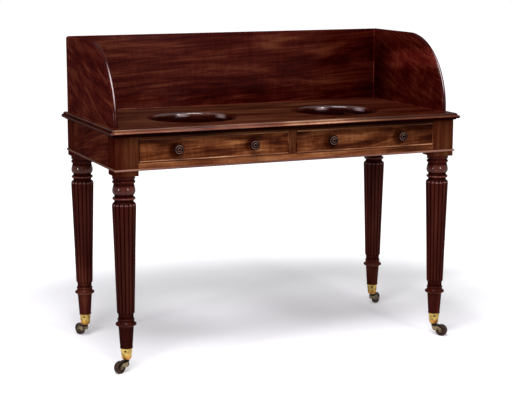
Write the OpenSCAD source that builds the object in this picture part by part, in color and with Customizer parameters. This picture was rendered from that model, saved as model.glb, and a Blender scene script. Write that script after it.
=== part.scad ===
// Double washstand of the early nineteenth century: a moulded top with two basin
// holes, a three-sided splash gallery, two frieze drawers cut round the basins, and
// reeded, ring-turned legs on brass casters.
// The origin is on the floor under the middle of the piece, measured over the knobs
// and the gallery. X runs along the front, Y to the wall, Z up. Millimetres.

/* [Top] */
// Width of the top over its moulding
top_w = 1200; // [1160:5:1300]
// Height of the top surface above the floor
top_z = 762; // [740:2:800]
// Thickness of the top
top_t = 22; // [20:0.5:26]
// Moulding beyond the leg blocks at the front and sides
edge_overhang = 16; // [13:0.5:20]
// Top beyond the leg blocks at the wall
back_overhang = 15; // [8:1:25]
// Radius of the upper round of the edge moulding
edge_ovolo_r = 6; // [4:0.5:7]
// Radius of the lower round of the edge moulding
edge_torus_r = 5.5; // [4:0.25:5.5]
// Step between the mouldings of the edge
edge_step = 1; // [0.5:0.25:2]

/* [Basin holes] */
// Diameter of each basin hole
basin_d = 277; // [250:1:300]
// Distance of each hole's centre from the middle of its drawer, towards the middle of the top
basin_in = 6; // [0:1:12]
// Distance of the holes' centres in front of the middle of the frame
basin_forward = 41; // [25:1:50]
// Rounding of the rim of each hole
basin_rim_r = 8; // [4:0.5:12]

/* [Gallery] */
// Height of the gallery above the top
gallery_h = 250; // [200:5:300]
// Thickness of the gallery boards
gallery_t = 16; // [12:1:20]
// Distance of the gallery from the ends of the top
gallery_inset = 22; // [20:1:40]
// Distance of the gallery ends from the front of the top
gallery_front = 50; // [40:1:80]
// Straight foot of the gallery ends below their curve
gallery_foot = 8; // [4:1:20]

/* [Frame] */
// Depth of the frame over the leg blocks
frame_d = 524; // [500:2:560]
// Height of the underside of the rails above the floor
rail_z = 635; // [620:1:650]
// Thickness of the side and back rails
rail_t = 22; // [18:1:26]
// Distance of the rails behind the faces of the leg blocks
rail_set = 2; // [1:0.5:4]
// Thickness of the tenons
tenon_t = 8; // [6:1:10]
// Length of the tenons
tenon_l = 28; // [20:1:32]
// Shoulder above and below the tenons of the deep rails
tenon_shoulder = 14; // [10:1:20]
// Depth of the rails above and below the drawers
blade_d = 60; // [50:1:70]
// Thickness of the rail above the drawers
top_blade_t = 8; // [6:0.5:12]
// Thickness of the rail below the drawers
low_blade_t = 24; // [20:1:30]
// Width of the upright between the drawers
divider_w = 22; // [18:1:30]
// Height of the bead along the lower edge of the frame
bead_h = 6; // [4:0.5:8]
// Reach of the bead beyond the leg blocks
bead_out = 4.5; // [3:0.5:6]

/* [Legs] */
// Width of the square block at the head of each leg
block_w = 73; // [68:1:80]
// Drop of the block below the rails
block_drop = 16; // [10:1:24]
// Largest diameter of the rings under the block
ring_d = 71; // [64:0.5:72]
// Diameter of the necks between those rings
neck_d = 59; // [54:0.5:62]
// Number of reeds on each leg
reed_n = 15; // [12:1:18]
// Diameter over the reeds at the top
reed_top_d = 74.5; // [70:0.5:76]
// Diameter over the reeds at the foot
reed_foot_d = 55; // [50:0.5:60]
// Height of the foot of the reeding above the floor
reed_foot_z = 192; // [180:1:220]
// Diameter of the ankle ring
ankle_ring_d = 65; // [60:0.5:68]
// Diameter of the plain ankle under that ring
ankle_top_d = 47.5; // [44:0.5:50]
// Diameter of the plain ankle at the brass cup
ankle_foot_d = 38.5; // [37:0.5:42]

/* [Drawers] */
// Running gap round each drawer front
drawer_gap = 0.8; // [0.5:0.1:1.5]
// Thickness of the drawer fronts
drawer_front_t = 20; // [16:1:24]
// Depth of the drawers from front to back
drawer_d = 440; // [400:5:445]
// Thickness of the drawer sides and backs
drawer_side_t = 9; // [7:0.5:12]
// Height of the drawer sides
drawer_side_h = 70; // [55:1:71]
// Thickness of the drawer bottoms
drawer_bottom_t = 6; // [4:0.5:8]
// Height of the drawer bottoms above the lower edge of the sides
drawer_bottom_up = 7.5; // [7:0.5:12]
// Space between a basin hole and the curved wall behind it
well_gap = 8; // [4:1:12]
// Thickness of the curved wall
well_t = 8; // [6:1:10]
// Width of the cockbead strips
cockbead_w = 4; // [3:0.5:5]
// Reach of the cockbead beyond the drawer front
cockbead_out = 1.5; // [1:0.25:2]
// Distance of each knob from the middle of its drawer
knob_x = 125; // [100:1:160]
// Diameter of the knobs
knob_d = 34; // [28:1:40]
// Projection of the knobs from the drawer front
knob_l = 25; // [22:1:30]
// Diameter of the knob's spigot
knob_pin_d = 12; // [8:0.5:13]

/* [Casters] */
// Diameter of the caster wheels
wheel_d = 40; // [36:1:42]
// Width of the caster wheels
wheel_w = 14; // [12:1:16]
// Distance of the wheel's axle from the swivel axis
trail = 29; // [27:1:32]
// Height of the lower end of the brass cups above the floor
cup_z = 40; // [40:1:46]
// Height of the brass cups
cup_h = 37; // [32:1:42]
// Diameter of the brass cups at the top
cup_top_d = 37; // [35:0.5:38]
// Diameter of the brass cups above their rounded end
cup_low_d = 31; // [28:0.5:33]
// Thickness of the brass cup's wall
cup_t = 1.5; // [1:0.25:2]
// Diameter of the swivel pin
swivel_d = 8; // [6:0.5:9]
// Diameter of the axle
axle_d = 5; // [4:0.5:6]
// Compass direction in which each caster trails: front left, front right, back left, back right
trail_angles = [205, -54, 113, 33];

/* [Hidden] */
$fn = 96;

// Clearances
run_gap = 0.3;      // under a sliding drawer side and behind a drawer front
turn_gap = 0.05;    // radial gap of a pin that turns, or of a spigot in its hole
swivel_gap = 0.4;   // between the crown of a horn and its cup, and beside a wheel
rivet_gap = 0.3;    // between the rivet of a swivel pin and the floor of its cup
far = 1000;         // longer than any piece, for cutting tools

// The plan, from the wall forwards
frame_w = top_w - 2 * edge_overhang;
knob_reach = knob_l - rail_set;     // of the knobs beyond the leg blocks
back_y = (knob_reach + frame_d + back_overhang) / 2;
frame_back_y = back_y - back_overhang;
frame_front_y = frame_back_y - frame_d;
leg_x = (frame_w - block_w) / 2;
leg_y = (frame_d - block_w) / 2;
mid_y = (frame_front_y + frame_back_y) / 2;
basin_y = mid_y - basin_forward;
basin_r = basin_d / 2;

// The heights of the frame
top_low_z = top_z - top_t;
block_z = rail_z - block_drop;
opening_low_z = rail_z + low_blade_t;
opening_top_z = top_low_z - top_blade_t;

// The drawer openings, between a leg block and the divider
opening_out_x = frame_w / 2 - block_w;
opening_in_x = divider_w / 2;
opening_w = opening_out_x - opening_in_x;
drawer_x = (opening_out_x + opening_in_x) / 2;
basin_x = drawer_x - basin_in;
rail_front_y = frame_front_y + rail_set;
blade_back_y = rail_front_y + blade_d;
rail_in_x = frame_w / 2 - rail_set - rail_t;
rail_in_y = frame_back_y - rail_set - rail_t;

// ---------- helpers ----------

// A strip along X whose section (outward, up) is the child, from o0 to o1 outward.
// m1 and m2 are 1 where the end is mitred round an outer corner and 0 where it is square.
module mitred_strip(l, o0, o1, z0, z1, m1, m2) {
    reach = abs(o0) + abs(o1);
    intersection() {
        translate([-reach, 0, 0])
            rotate([90, 0, 90])
                linear_extrude(l + 2 * reach)
                    children();
        translate([0, 0, z0])
            linear_extrude(z1 - z0)
                polygon([[-o0 * m1, o0], [l + o0 * m2, o0], [l + o1 * m2, o1], [-o1 * m1, o1]]);
    }
}

// Children drawn for the front left corner, carried to a corner of the frame
module at_corner(side, end) {
    translate([side * leg_x, mid_y + end * leg_y, 0])
        mirror([side > 0 ? 1 : 0, 0, 0])
            mirror([0, end > 0 ? 1 : 0, 0])
                children();
}

// ---------- top ----------

// Section of the edge: ovolo, fillet, torus and cavetto, outward from the block face
module edge_section() {
    torus_o = edge_overhang - edge_torus_r;
    ovolo_o = torus_o - edge_step - edge_ovolo_r;
    torus_top = edge_ovolo_r + edge_step;
    torus_low = torus_top + 2 * edge_torus_r;
    cove_r = top_t - torus_low;
    difference() {
        union() {
            translate([0, -top_t]) square([torus_o - edge_step, top_t - edge_ovolo_r]);
            translate([0, -torus_low]) square([torus_o, 2 * edge_torus_r]);
            translate([torus_o, -torus_top - edge_torus_r]) circle(r = edge_torus_r);
            translate([ovolo_o, -edge_ovolo_r]) circle(r = edge_ovolo_r);
            translate([0, -top_t]) square([ovolo_o, top_t]);
        }
        translate([torus_o - edge_step, -top_t]) circle(r = cove_r);
        translate([torus_o - edge_step, -top_t]) square([edge_overhang, cove_r]);
        translate([-far, -far / 2]) square([far, far]);
    }
}

module edge_strip(l, m1, m2) {
    mitred_strip(l, 0, edge_overhang, -top_t, 0, m1, m2) edge_section();
}

module rim_cut() {
    translate([0, 0, -far / 2]) cylinder(r = basin_r, h = far);
    rotate_extrude()
        difference() {
            translate([basin_r - 1, -basin_rim_r]) square([basin_rim_r + 1, 2 * basin_rim_r]);
            translate([basin_r + basin_rim_r, -basin_rim_r]) circle(r = basin_rim_r);
            translate([basin_r + basin_rim_r, 0])
                square([far, far]);
        }
}

module top_board() {
    side_l = back_y - frame_front_y;
    color([0.34, 0.15, 0.09])
        translate([0, 0, top_z])
            difference() {
                union() {
                    translate([-frame_w / 2, frame_front_y, -top_t]) cube([frame_w, side_l, top_t]);
                    translate([frame_w / 2, frame_front_y, 0])
                        rotate([0, 0, 180]) edge_strip(frame_w, 1, 1);
                    for (side = [0, 1])
                        mirror([side, 0, 0])
                            translate([-frame_w / 2, frame_front_y, 0])
                                rotate([0, 0, 90]) edge_strip(side_l, 1, 0);
                }
                for (side = [-1, 1])
                    translate([side * basin_x, basin_y, 0]) rim_cut();
            }
}

// ---------- gallery ----------

gallery_x = top_w / 2 - gallery_inset;
gallery_front_y = frame_front_y - edge_overhang + gallery_front;
gallery_curve_r = gallery_h - gallery_foot;

// Section of a gallery board with a rounded edge, l high over the round
module board_section(l) {
    translate([0, -gallery_t / 2]) square([l - gallery_t / 2, gallery_t]);
    intersection() {
        translate([l - gallery_t / 2, 0]) circle(d = gallery_t);
        translate([l - gallery_t / 2, -gallery_t]) square([gallery_t, 2 * gallery_t]);
    }
}

module gallery_back() {
    color([0.36, 0.13, 0.09])
        translate([0, 0, top_z])
            intersection() {
                translate([-gallery_x, back_y - gallery_t / 2, 0])
                    rotate([0, -90, 180])
                        linear_extrude(2 * gallery_x) board_section(gallery_h);
                linear_extrude(gallery_h)
                    polygon([[-gallery_x, back_y], [gallery_x, back_y],
                             [gallery_x - gallery_t, back_y - gallery_t],
                             [-gallery_x + gallery_t, back_y - gallery_t]]);
            }
}

module gallery_end() {
    curve_y = gallery_front_y + gallery_curve_r;
    color([0.36, 0.13, 0.09])
        translate([-gallery_x + gallery_t / 2, 0, top_z])
            intersection() {
                union() {
                    translate([0, curve_y, gallery_foot])
                        rotate([90, 0, -90])
                            rotate_extrude(angle = 90) board_section(gallery_curve_r);
                    translate([0, curve_y, 0])
                        rotate([-90, -90, 0])
                            linear_extrude(back_y - curve_y) board_section(gallery_h);
                    translate([0, curve_y, 0])
                        rotate([0, 0, -90])
                            linear_extrude(gallery_foot) board_section(gallery_curve_r);
                }
                linear_extrude(gallery_h)
                    polygon([[-gallery_t / 2, gallery_front_y], [gallery_t / 2, gallery_front_y],
                             [gallery_t / 2, back_y - gallery_t], [-gallery_t / 2, back_y]]);
            }
}

// ---------- frame ----------

deep_tenon_z = rail_z + tenon_shoulder;
deep_tenon_h = top_low_z - rail_z - 2 * tenon_shoulder;
tenon_in = rail_set + (rail_t - tenon_t) / 2;   // from a block's face to the tenon
blade_shoulder = 12;    // in front of and behind the lower rail's tenons, half of it above and below
blade_tenon_d = blade_d - 2 * blade_shoulder;
blade_tenon_h = low_blade_t - blade_shoulder;
blade_tenon_y = rail_front_y + blade_shoulder;
blade_tenon_z = rail_z + blade_shoulder / 2;
lap_shoulder = 16;      // in front of the upper rail's laps
lap_d = blade_d - lap_shoulder;

module side_rail() {
    y0 = frame_front_y + block_w;
    y1 = frame_back_y - block_w;
    color([0.37, 0.17, 0.11]) {
        translate([-frame_w / 2 + rail_set, y0, rail_z])
            cube([rail_t, y1 - y0, top_low_z - rail_z]);
        translate([-frame_w / 2 + tenon_in, y0 - tenon_l, deep_tenon_z])
            cube([tenon_t, y1 - y0 + 2 * tenon_l, deep_tenon_h]);
    }
}

module back_rail() {
    color([0.37, 0.17, 0.11]) {
        translate([-opening_out_x, rail_in_y, rail_z])
            cube([2 * opening_out_x, rail_t, top_low_z - rail_z]);
        translate([-opening_out_x - tenon_l, frame_back_y - tenon_in - tenon_t, deep_tenon_z])
            cube([2 * (opening_out_x + tenon_l), tenon_t, deep_tenon_h]);
    }
}

divider_tenon = [14, 36, 5];    // width, depth and reach of the divider's stub tenons

// The stub tenons of the divider, in one with its core
module divider_tenons() {
    translate([-divider_tenon[0] / 2, rail_front_y + (blade_d - divider_tenon[1]) / 2,
               opening_low_z - divider_tenon[2]])
        cube([divider_tenon[0], divider_tenon[1],
              opening_top_z - opening_low_z + 2 * divider_tenon[2]]);
}

module front_top_rail() {
    color([0.40, 0.20, 0.12])
        difference() {
            translate([0, 0, opening_top_z]) {
                translate([-opening_out_x, rail_front_y, 0])
                    cube([2 * opening_out_x, blade_d, top_blade_t]);
                translate([-opening_out_x - tenon_l, blade_back_y - lap_d, 0])
                    cube([2 * (opening_out_x + tenon_l), lap_d, top_blade_t]);
            }
            divider_tenons();
        }
}

module front_bottom_rail() {
    color([0.46, 0.26, 0.14])
        difference() {
            union() {
                translate([-opening_out_x, rail_front_y, rail_z])
                    cube([2 * opening_out_x, blade_d, low_blade_t]);
                translate([-opening_out_x - tenon_l, blade_tenon_y, blade_tenon_z])
                    cube([2 * (opening_out_x + tenon_l), blade_tenon_d, blade_tenon_h]);
            }
            divider_tenons();
        }
}

module drawer_divider() {
    color([0.44, 0.24, 0.13]) {
        translate([-divider_w / 2, rail_front_y, opening_low_z])
            cube([divider_w, blade_d, opening_top_z - opening_low_z]);
        divider_tenons();
    }
}

// Section of the bead, let into the blocks by the depth of the rails' set-back
module bead_section() {
    nose = bead_out - bead_h / 2;
    translate([-rail_set, 0]) square([rail_set + nose, bead_h]);
    intersection() {
        translate([nose, bead_h / 2]) circle(d = bead_h);
        translate([nose, 0]) square([bead_h, bead_h]);
    }
}

module bead_strip(l, m1, m2) {
    mitred_strip(l, -rail_set, bead_out, 0, bead_h, m1, m2) bead_section();
}

module bead_front() {
    color([0.48, 0.28, 0.18])
        translate([frame_w / 2, frame_front_y, rail_z])
            rotate([0, 0, 180]) bead_strip(frame_w, 1, 1);
}

module bead_side() {
    color([0.40, 0.20, 0.12])
        translate([-frame_w / 2, frame_front_y, rail_z])
            rotate([0, 0, 90]) bead_strip(frame_d, 1, 0);
}

// ---------- legs ----------

// The turned heights, upwards from the caster cup
cup_boss = 8;           // solid lower end of the cup
cup_top_z = cup_z + cup_h;
foot_z = cup_z + cup_boss;
ankle_drop = 38;        // from the foot of the reeding down to the ankle ring
ankle_z = reed_foot_z - ankle_drop;
neck_h = 91;            // from the block down to the top of the reeding
reed_top_z = block_z - neck_h;

// The reeds: rods side by side round the leg, each sunk a little into the next
reed_half = 180 / reed_n;
reed_fullness = 1.237;  // a reed's radius over half the distance between reeds
reed_share = reed_fullness * sin(reed_half) / (1 + reed_fullness * sin(reed_half));
reed_tip_r = reed_top_d / 2 * reed_share;
reed_heel_r = reed_foot_d / 2 * reed_share;
reed_cap = 0.98;        // where a reed's round end is cut flat, as a share of its radius
reed_bed = 0.2;         // how far the cut ends are let into the turnings beside them
reed_lip = 0.8;         // how far those turnings stand out round the cut ends

// How far a reed still stands out where its round end is cut flat
function reed_nib(r) = r * sqrt(1 - reed_cap * reed_cap);

// Radius of the reeded outline at an angle from a reed's crest
function reeded(a, axis_r, r, core) =
    let (s = r * r - pow(axis_r * sin(a), 2))
    s > 0 ? max(core, axis_r * cos(a) + sqrt(s)) : core;

// One ring of the reeding: z, the outline's radius and how far past the reeds' ends it lies
steps_per_reed = 6;
function reed_ring(z, d, past) =
    let (
        r = d / 2 * reed_share,
        axis_r = d / 2 - r,
        left = sqrt(r * r - past * past)
    )
    [for (i = [0:reed_n - 1], j = [0:steps_per_reed - 1])
        let (
            a = -reed_half + 2 * reed_half * j / steps_per_reed,
            turn = 2 * reed_half * i + a,
            rho = reeded(a, axis_r, left, axis_r)
        )
        [rho * cos(turn), rho * sin(turn), z]];

module reeded_shaft() {
    past = [reed_cap, 0.85, 0.55];
    rings = concat(
        [for (p = past) reed_ring(reed_foot_z - p * reed_heel_r, reed_foot_d, p * reed_heel_r)],
        [reed_ring(reed_foot_z, reed_foot_d, 0), reed_ring(reed_top_z, reed_top_d, 0)],
        [for (i = [len(past) - 1:-1:0])
            reed_ring(reed_top_z + past[i] * reed_tip_r, reed_top_d, past[i] * reed_tip_r)]
    );
    n = reed_n * steps_per_reed;
    last = len(rings) - 1;
    polyhedron(
        points = [for (ring = rings) each ring],
        faces = concat(
            [[for (j = [0:n - 1]) j]],
            [[for (j = [n - 1:-1:0]) last * n + j]],
            [for (k = [0:last - 1], j = [0:n - 1])
                each [[k * n + j, (k + 1) * n + j, (k + 1) * n + (j + 1) % n],
                      [k * n + j, (k + 1) * n + (j + 1) % n, k * n + (j + 1) % n]]]
        )
    );
}

// A rounded ring of the turning, h high and d across, centred at z
module turned_ring(z, d, h) {
    translate([d / 2 - h / 2, z]) circle(d = h);
    translate([0, z - h / 2]) square([d / 2 - h / 2, h]);
}

// The rings and hollows under the block: distance down from the block, then height
collar_h = 10.5;
upper_ring = [19.5, 8];
lower_ring = [70.5, 8];
fillet_foot = 26.5;     // lower end of the plain fillet that the vase springs from
fillet_in = 4;          // of that fillet, inside the rings
vase_drop = 48;         // widest part of the vase
vase_back_r = 50;       // radius of its long upper curve
vase_foot_r = 14;       // radius of its round lower end

// The turning between the block and the reeding, measured down from the block
module neck_turning() {
    r = ring_d / 2;
    shaft_top = -neck_h + reed_cap * reed_tip_r - reed_bed;
    reed_neck_r = reed_top_d / 2 - reed_tip_r + reed_nib(reed_tip_r) + reed_lip;
    ring_top = upper_ring[0] - upper_ring[1] / 2;
    cove_r = (ring_top - collar_h) / 2;
    polygon([[0, shaft_top], [reed_neck_r, shaft_top], [neck_d / 2, shaft_top + 3],
             [neck_d / 2, 0], [0, 0]]);
    for (ring = [upper_ring, lower_ring]) turned_ring(-ring[0], ring_d, ring[1]);
    difference() {
        union() {
            translate([0, -collar_h]) square([r - 0.5, collar_h]);
            translate([0, -fillet_foot]) square([r - fillet_in, fillet_foot]);
            translate([0, -upper_ring[0]]) square([r - fillet_in + cove_r, upper_ring[0]]);
        }
        translate([r - fillet_in + cove_r, -collar_h - cove_r]) circle(r = cove_r);
    }
    intersection() {
        translate([r - vase_back_r, -vase_drop]) circle(r = vase_back_r);
        translate([0, -vase_drop]) square([r, vase_drop - fillet_foot]);
    }
    intersection() {
        translate([r - vase_foot_r, -vase_drop]) circle(r = vase_foot_r);
        translate([r - vase_foot_r, -vase_drop - vase_foot_r]) square(vase_foot_r);
    }
}

ankle_ring_h = 8;
foot_ring_h = 3;        // the small ring that sits on the rim of the cup
foot_round = 1.5;       // rounding at the end of the foot, inside the cup

// The turning between the reeding and the foot, measured up from the floor
module ankle_turning() {
    reed_end = reed_foot_z - reed_cap * reed_heel_r + reed_bed;
    neck_r = reed_foot_d / 2 - reed_heel_r + reed_nib(reed_heel_r) + reed_lip;
    spigot = cup_top_d / 2 - cup_t - turn_gap;
    spigot_low = cup_low_d / 2 - cup_t - turn_gap;
    collar = ankle_foot_d / 2;
    ring = ankle_ring_d / 2 - 2.5;
    sleeve = ankle_top_d / 2 + 1.5;
    polygon([
        [0, foot_z], [spigot_low - foot_round, foot_z], [spigot_low, foot_z + foot_round],
        [spigot, cup_top_z], [collar, cup_top_z], [collar, cup_top_z + foot_ring_h],
        [ankle_top_d / 2, ankle_z - ankle_ring_h],
        [ring, ankle_z - 3.5], [ring, ankle_z + 3.5], [sleeve, ankle_z + ankle_ring_h],
        [sleeve, ankle_z + 14], [neck_r, ankle_z + 20], [neck_r, reed_end], [0, reed_end]
    ]);
    turned_ring(ankle_z, ankle_ring_d, ankle_ring_h);
    turned_ring(ankle_z + 15, ankle_top_d + 5.5, 6);
    turned_ring(cup_top_z + foot_ring_h / 2, ankle_foot_d + 2, foot_ring_h);
}

// The square block with its mortises, about the leg's axis, for the front left corner
module block_body(front) {
    h = block_w / 2;
    difference() {
        translate([-h, -h, block_z]) cube([block_w, block_w, top_low_z - block_z]);
        // the bead's groove, round the outer faces
        translate([-h - 1, -h - 1, rail_z]) cube([rail_set + 1, block_w + 2, bead_h]);
        if (front)
            translate([-h - 1, -h - 1, rail_z]) cube([block_w + 2, rail_set + 1, bead_h]);
        // the side rail's mortise
        translate([-h + tenon_in, h - tenon_l, deep_tenon_z])
            cube([tenon_t, tenon_l + 1, deep_tenon_h]);
        if (front) {
            translate([h - tenon_l, -h + blade_tenon_y - frame_front_y, blade_tenon_z])
                cube([tenon_l + 1, blade_tenon_d, blade_tenon_h]);
            translate([h - tenon_l, -h + blade_back_y - lap_d - frame_front_y, opening_top_z])
                cube([tenon_l + 1, lap_d, top_blade_t + 1]);
        } else {
            translate([h - tenon_l, -h + tenon_in, deep_tenon_z])
                cube([tenon_l + 1, tenon_t, deep_tenon_h]);
        }
    }
}

// The two screws that hold each cup, and the riveted head of the swivel pin inside it
screw_drop = 8;         // below the rim of the cup
screw_z = cup_top_z - screw_drop;
screw_angle = -120;
screw_d = 3;
screw_l = 13;
screw_head_d = 6.5;
screw_rim = 0.4;        // straight edge of the head
screw_neck = 2.2;       // depth at which the cone of the head meets the shank
cup_slope = (cup_top_d - cup_low_d) / 2 / (cup_h - cup_boss);
screw_face = cup_top_d / 2 - cup_slope * screw_drop + 0.2;
rivet_d = 13;
rivet_h = 2.5;
rivet_room = 1.5;       // round the rivet, in the end of the leg

module at_screws() {
    for (turn = [0, 180])
        rotate([0, 0, screw_angle + turn])
            translate([screw_face, 0, screw_z])
                rotate([0, -90, 0]) children();
}

module leg(side, end) {
    color([0.27, 0.11, 0.08])
        difference() {
            union() {
                at_corner(side, end) block_body(end < 0);
                translate([side * leg_x, mid_y + end * leg_y, 0]) {
                    reeded_shaft();
                    rotate_extrude() ankle_turning();
                    translate([0, 0, block_z])
                        rotate_extrude()
                            intersection() {
                                neck_turning();
                                translate([0, -far]) square([far, far]);
                            }
                }
            }
            translate([side * leg_x, mid_y + end * leg_y, 0]) {
                translate([0, 0, foot_z - 1])
                    cylinder(d = rivet_d + 2 * rivet_room, h = 1 + rivet_gap + rivet_h + rivet_room);
                at_screws() {
                    cylinder(d = screw_d, h = screw_l);
                    translate([0, 0, screw_rim])
                        cylinder(d1 = screw_head_d + 2 * turn_gap, d2 = screw_d + 2 * turn_gap,
                                 h = screw_neck - screw_rim);
                }
            }
        }
}

// ---------- carcase fittings ----------

// Plan of an outer runner: wide between the leg blocks, narrow in front and behind
module outer_plan(inner) {
    y0 = frame_front_y + block_w;
    y1 = frame_back_y - block_w;
    translate([-rail_in_x, y0]) square([rail_in_x - inner, y1 - y0]);
    translate([-opening_out_x, blade_back_y])
        square([opening_out_x - inner, rail_in_y - blade_back_y]);
}

runner_h = 18;
ledge = 14;         // how far the drawer side bears on its runner
guide_h = 14;
guide_t = 12;

module drawer_runners() {
    inner = opening_out_x - ledge;
    color([0.55, 0.42, 0.28])
        translate([0, 0, opening_low_z - runner_h]) {
            for (side = [0, 1])
                mirror([side, 0, 0]) linear_extrude(runner_h) outer_plan(inner);
            translate([-opening_in_x - ledge, blade_back_y, 0])
                cube([2 * (opening_in_x + ledge), rail_in_y - blade_back_y, runner_h]);
        }
}

module drawer_guides() {
    y0 = frame_front_y + block_w;
    y1 = frame_back_y - block_w;
    color([0.52, 0.40, 0.27])
        translate([0, 0, opening_low_z]) {
            for (side = [0, 1])
                mirror([side, 0, 0])
                    translate([-opening_out_x - guide_t, y0, 0]) cube([guide_t, y1 - y0, guide_h]);
            translate([-divider_w / 2, blade_back_y, 0])
                cube([divider_w, rail_in_y - blade_back_y, guide_h]);
        }
}

module drawer_kickers() {
    y0 = frame_front_y + block_w;
    y1 = frame_back_y - block_w;
    color([0.52, 0.40, 0.27])
        translate([0, 0, opening_top_z]) {
            for (side = [0, 1])
                mirror([side, 0, 0])
                    translate([-opening_out_x - ledge, y0, 0]) cube([2 * ledge, y1 - y0, top_blade_t]);
            translate([-opening_in_x - ledge, blade_back_y, 0])
                cube([2 * (opening_in_x + ledge), rail_in_y - blade_back_y, top_blade_t]);
        }
}

stop_x = 150;       // from the middle of a drawer to the middle of a stop
stop_w = 30;
stop_d = 25;
stop_h = drawer_bottom_up - 1.5;

module drawer_stops() {
    color([0.52, 0.40, 0.27])
        for (side = [-1, 1], end = [-1, 1])
            translate([side * drawer_x + end * stop_x - stop_w / 2,
                       rail_front_y + drawer_front_t + run_gap, opening_low_z])
                cube([stop_w, stop_d, stop_h]);
}

glue_block_l = 60;
glue_block_leg = 18;
back_block_x = [120, 370];      // middles of the blocks along the back rail
side_block_y = [-50, 90];       // middles of the blocks along the side rails

// A triangular block rubbed into the corner of a rail and the top
module glue_block() {
    translate([-glue_block_l / 2, 0, 0])
        rotate([90, 0, 90])
            linear_extrude(glue_block_l)
                polygon([[0, 0], [-glue_block_leg, 0], [0, -glue_block_leg]]);
}

module glue_blocks() {
    color([0.50, 0.36, 0.24])
        translate([0, 0, top_low_z])
            for (side = [0, 1])
                mirror([side, 0, 0]) {
                    for (x = back_block_x) translate([-x, rail_in_y, 0]) glue_block();
                    for (y = side_block_y)
                        translate([-rail_in_x, mid_y + y, 0]) rotate([0, 0, 90]) glue_block();
                }
}

// ---------- drawers ----------

front_w = opening_w - 2 * drawer_gap;
front_h = opening_top_z - opening_low_z - 2 * drawer_gap;
front_low_z = opening_low_z + drawer_gap;
side_low_z = opening_low_z + run_gap;
side_x = front_w / 2;
inside_y = rail_front_y + drawer_front_t;
drawer_back_y = rail_front_y + drawer_d;
bottom_z = side_low_z + drawer_bottom_up;
well_in_r = basin_r + well_gap;
well_out_r = well_in_r + well_t;
cockbead_d = 10;
knob_z = (opening_low_z + opening_top_z) / 2;
back_low_z = bottom_z + drawer_bottom_t;
back_h = side_low_z + drawer_side_h - back_low_z;
groove_d = 4;           // of the bottom into the sides and the front
front_tail_n = 3;       // dovetails of each side, lapped into the front
front_tail_l = 9;
back_tail_n = 2;        // dovetails of each side, through the back
tail_share = 0.78;      // of the height, taken by the tips of the tails
tail_flare = 1.5;       // by how much a tail widens on each side towards its tip

// Children drawn for the left drawer, with X = 0 in the middle of its opening
module at_drawer(side) {
    translate([side * drawer_x, 0, 0]) children();
}

// Plan of the basin's clearance: a half round at the front, straight behind
module well_plan(side, r) {
    translate([-side * basin_in, 0]) {
        translate([0, basin_y]) circle(r = r);
        translate([-r, basin_y]) square([2 * r, drawer_back_y - basin_y + 1]);
    }
}

// A row of n tails, l long, pointing to -Y from y = 0, over a height h and a thickness t along X
module tails(n, l, h, t) {
    tip = h / n * tail_share / 2;
    root = tip - tail_flare;
    for (i = [0:n - 1])
        translate([0, 0, h / n * (i + 0.5)])
            rotate([90, 0, 90])
                linear_extrude(t)
                    polygon([[1, -root], [0, -root], [-l, -tip], [-l, tip], [0, root], [1, root]]);
}

// The front tails of both sides of a drawer, past its outer faces by the clearance of a cut
module front_tails(past) {
    for (end = [0, 1])
        mirror([end, 0, 0])
            translate([-side_x - past, inside_y, side_low_z])
                tails(front_tail_n, front_tail_l, drawer_side_h, drawer_side_t + past);
}

// The pins of the backs, which fill the space between the back tails of both sides
module back_pins(past) {
    for (end = [0, 1])
        mirror([end, 0, 0])
            translate([-side_x, drawer_back_y - drawer_side_t, back_low_z])
                difference() {
                    translate([-past, 0, 0])
                        cube([past + drawer_side_t + 1, drawer_side_t + past, back_h + past]);
                    translate([-past - 1, 0, 0])
                        mirror([0, 1, 0])
                            tails(back_tail_n, drawer_side_t, back_h, past + 1 + drawer_side_t);
                }
}

// The bottom before it is cut out round the basin
module bottom_plate() {
    w = 2 * (side_x - drawer_side_t + groove_d);
    translate([-w / 2, inside_y - groove_d, bottom_z])
        cube([w, drawer_back_y - inside_y + groove_d, drawer_bottom_t]);
}

module drawer_front(side) {
    color([0.55, 0.33, 0.17])
        at_drawer(side)
            difference() {
                translate([-front_w / 2, rail_front_y, front_low_z])
                    cube([front_w, drawer_front_t, front_h]);
                front_tails(1);
                bottom_plate();
                translate([-front_w / 2 - 1, rail_front_y - 1, front_low_z - 1])
                    difference() {
                        cube([front_w + 2, cockbead_d + 1, front_h + 2]);
                        translate([1 + cockbead_w, -1, 1 + cockbead_w])
                            cube([front_w - 2 * cockbead_w, cockbead_d + 3, front_h - 2 * cockbead_w]);
                    }
                for (x = [-knob_x, knob_x])
                    translate([x, rail_front_y - 1, knob_z])
                        rotate([-90, 0, 0])
                            cylinder(d = knob_pin_d + 2 * turn_gap, h = drawer_front_t + 2);
            }
}

// One strip of cockbead: its back at the bottom of the rebate, its nose rounded
module cockbead_strip(l) {
    nose = cockbead_out - cockbead_w / 2 + cockbead_d;
    mitred_strip(l, -cockbead_w, 0, -cockbead_d, cockbead_out, 1, 1)
        translate([-cockbead_w, -cockbead_d]) {
            square([cockbead_w, nose]);
            intersection() {
                translate([cockbead_w / 2, nose]) circle(d = cockbead_w);
                translate([0, nose]) square([cockbead_w, cockbead_w]);
            }
        }
}

module drawer_cockbead(side) {
    color([0.50, 0.30, 0.17])
        at_drawer(side)
            translate([0, rail_front_y, front_low_z + front_h / 2])
                rotate([90, 0, 0])
                    for (turn = [0:3]) {
                        long = turn % 2 == 0 ? front_w : front_h;
                        across = turn % 2 == 0 ? front_h : front_w;
                        rotate([0, 0, 90 * turn])
                            translate([-long / 2, across / 2, 0]) cockbead_strip(long);
                    }
}

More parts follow.
